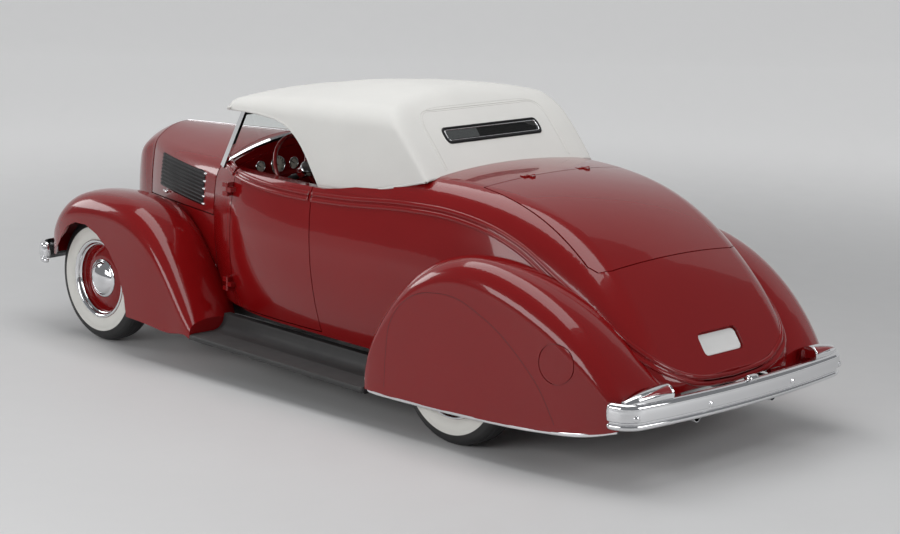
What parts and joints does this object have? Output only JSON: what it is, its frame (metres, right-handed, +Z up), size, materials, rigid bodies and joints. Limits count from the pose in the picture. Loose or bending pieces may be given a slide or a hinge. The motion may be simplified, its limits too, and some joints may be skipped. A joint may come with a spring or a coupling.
{
  "type": "hot rod roadster",
  "caption": "Lowered full-fendered roadster hot rod with a padded top, skirted rear fenders and wide whitewall tyres; it rolls, steers, and its doors, hood halves and deck lid open.",
  "frame": {"origin": "on the ground under the middle of the car's bounding box", "axes": "+X forward, +Y to the driver's left, +Z up"},
  "size_m": [4.6146, 1.7802, 1.596],
  "materials": {
    "paint": "gloss",
    "chrome": "polished",
    "rubber": "ribbed",
    "tyre": "wide white band",
    "cloth": "woven",
    "hide": "satin",
    "glass": "clear",
    "chassis": "painted dark",
    "iron": "matte",
    "plastic": "gloss"
  },
  "bodies": {
    "car": {"cowl": "paint", "rear_body": "paint", "hood_aprons": "paint", "grille_shell": "paint", "front_fender_left": "paint", "front_fender_right": "paint", "rear_fender_left": "paint", "rear_fender_right": "paint", "fender_skirts": "paint", "headlamps": "paint", "dashboard": "paint", "seat_bulkhead": "paint", "seat_base": "paint", "hood_strip": "chrome", "grille_bars": "chrome", "windshield_frame": "chrome", "rear_bumper": "chrome", "front_bumper": "chrome", "tail_lamps": "chrome", "exhaust_pipes": "chrome", "running_boards": "rubber", "padded_top": "cloth", "seat_cushion": "hide", "seat_back": "hide", "windshield_glass": "glass", "rear_window": "glass", "headlamp_lenses": "glass", "frame_rails": "chassis", "floor_pan": "chassis", "bumper_irons": "chassis", "fuel_tank": "chassis", "drive_shaft": "chassis", "front_axle": "chassis", "rear_axle": "chassis", "leaf_springs": "chassis", "radiator": "chassis", "steering_column": "chassis", "engine_block": "iron"},
    "left_door": {"door_left": "paint"},
    "right_door": {"door_right": "paint"},
    "left_hood": {"hood_left": "paint"},
    "right_hood": {"hood_right": "paint"},
    "lid": {"deck_lid": "paint"},
    "left_steer": {"knuckle_left": "chassis"},
    "right_steer": {"knuckle_right": "chassis"},
    "hand_wheel": {"steering_wheel": "plastic"},
    "wheel_front_left": {"front_wheel_left": "paint", "front_tyre_left": "tyre"},
    "wheel_front_right": {"front_wheel_right": "paint", "front_tyre_right": "tyre"},
    "wheel_rear_left": {"rear_wheel_left": "paint", "rear_tyre_left": "tyre"},
    "wheel_rear_right": {"rear_wheel_right": "paint", "rear_tyre_right": "tyre"}
  },
  "joints": [
    {"name": "left_door_hinge", "type": "hinge", "parent": "car", "child": "left_door", "pos_m": [0.6965, 0.657, 0.725], "axis": [0, 0, -1], "range_deg": [0, 65]},
    {"name": "right_door_hinge", "type": "hinge", "parent": "car", "child": "right_door", "pos_m": [0.6965, -0.657, 0.725], "axis": [0, 0, 1], "range_deg": [0, 65]},
    {"name": "left_hood_hinge", "type": "hinge", "parent": "car", "child": "left_hood", "pos_m": [1.3995, 0, 1.197], "axis": [0.9993, 0, -0.0379], "range_deg": [0, 50]},
    {"name": "right_hood_hinge", "type": "hinge", "parent": "car", "child": "right_hood", "pos_m": [1.3995, 0, 1.197], "axis": [-0.9993, 0, 0.0379], "range_deg": [0, 50]},
    {"name": "lid_hinge", "type": "hinge", "parent": "car", "child": "lid", "pos_m": [-1.05355, 0, 1.222], "axis": [0, 1, 0], "range_deg": [0, 55]},
    {"name": "left_kingpin", "type": "hinge", "parent": "car", "child": "left_steer", "pos_m": [1.7025, 0.59, 0.354], "axis": [0, 0, 1], "range_deg": [-30, 30]},
    {"name": "right_kingpin", "type": "hinge", "parent": "car", "child": "right_steer", "pos_m": [1.7025, -0.59, 0.354], "axis": [0, 0, 1], "range_deg": [-30, 30]},
    {"name": "steering_spin", "type": "hinge", "parent": "car", "child": "hand_wheel", "pos_m": [0.4375, 0.33, 1.085], "axis": [-0.8829, 0, 0.4695], "range_deg": [-450, 450]},
    {"name": "front_left_spin", "type": "hinge", "parent": "left_steer", "child": "wheel_front_left", "pos_m": [1.7025, 0.694, 0.354], "axis": [0, 1, 0], "continuous": true},
    {"name": "front_right_spin", "type": "hinge", "parent": "right_steer", "child": "wheel_front_right", "pos_m": [1.7025, -0.694, 0.354], "axis": [0, 1, 0], "continuous": true},
    {"name": "rear_left_spin", "type": "hinge", "parent": "car", "child": "wheel_rear_left", "pos_m": [-1.1425, 0.741, 0.354], "axis": [0, 1, 0], "continuous": true},
    {"name": "rear_right_spin", "type": "hinge", "parent": "car", "child": "wheel_rear_right", "pos_m": [-1.1425, -0.741, 0.354], "axis": [0, 1, 0], "continuous": true}
  ],
  "couplings": [
    {"joint": "right_kingpin", "follows": "left_kingpin", "ratio": 1},
    {"joint": "steering_spin", "follows": "left_kingpin", "ratio": 15}
  ]
}
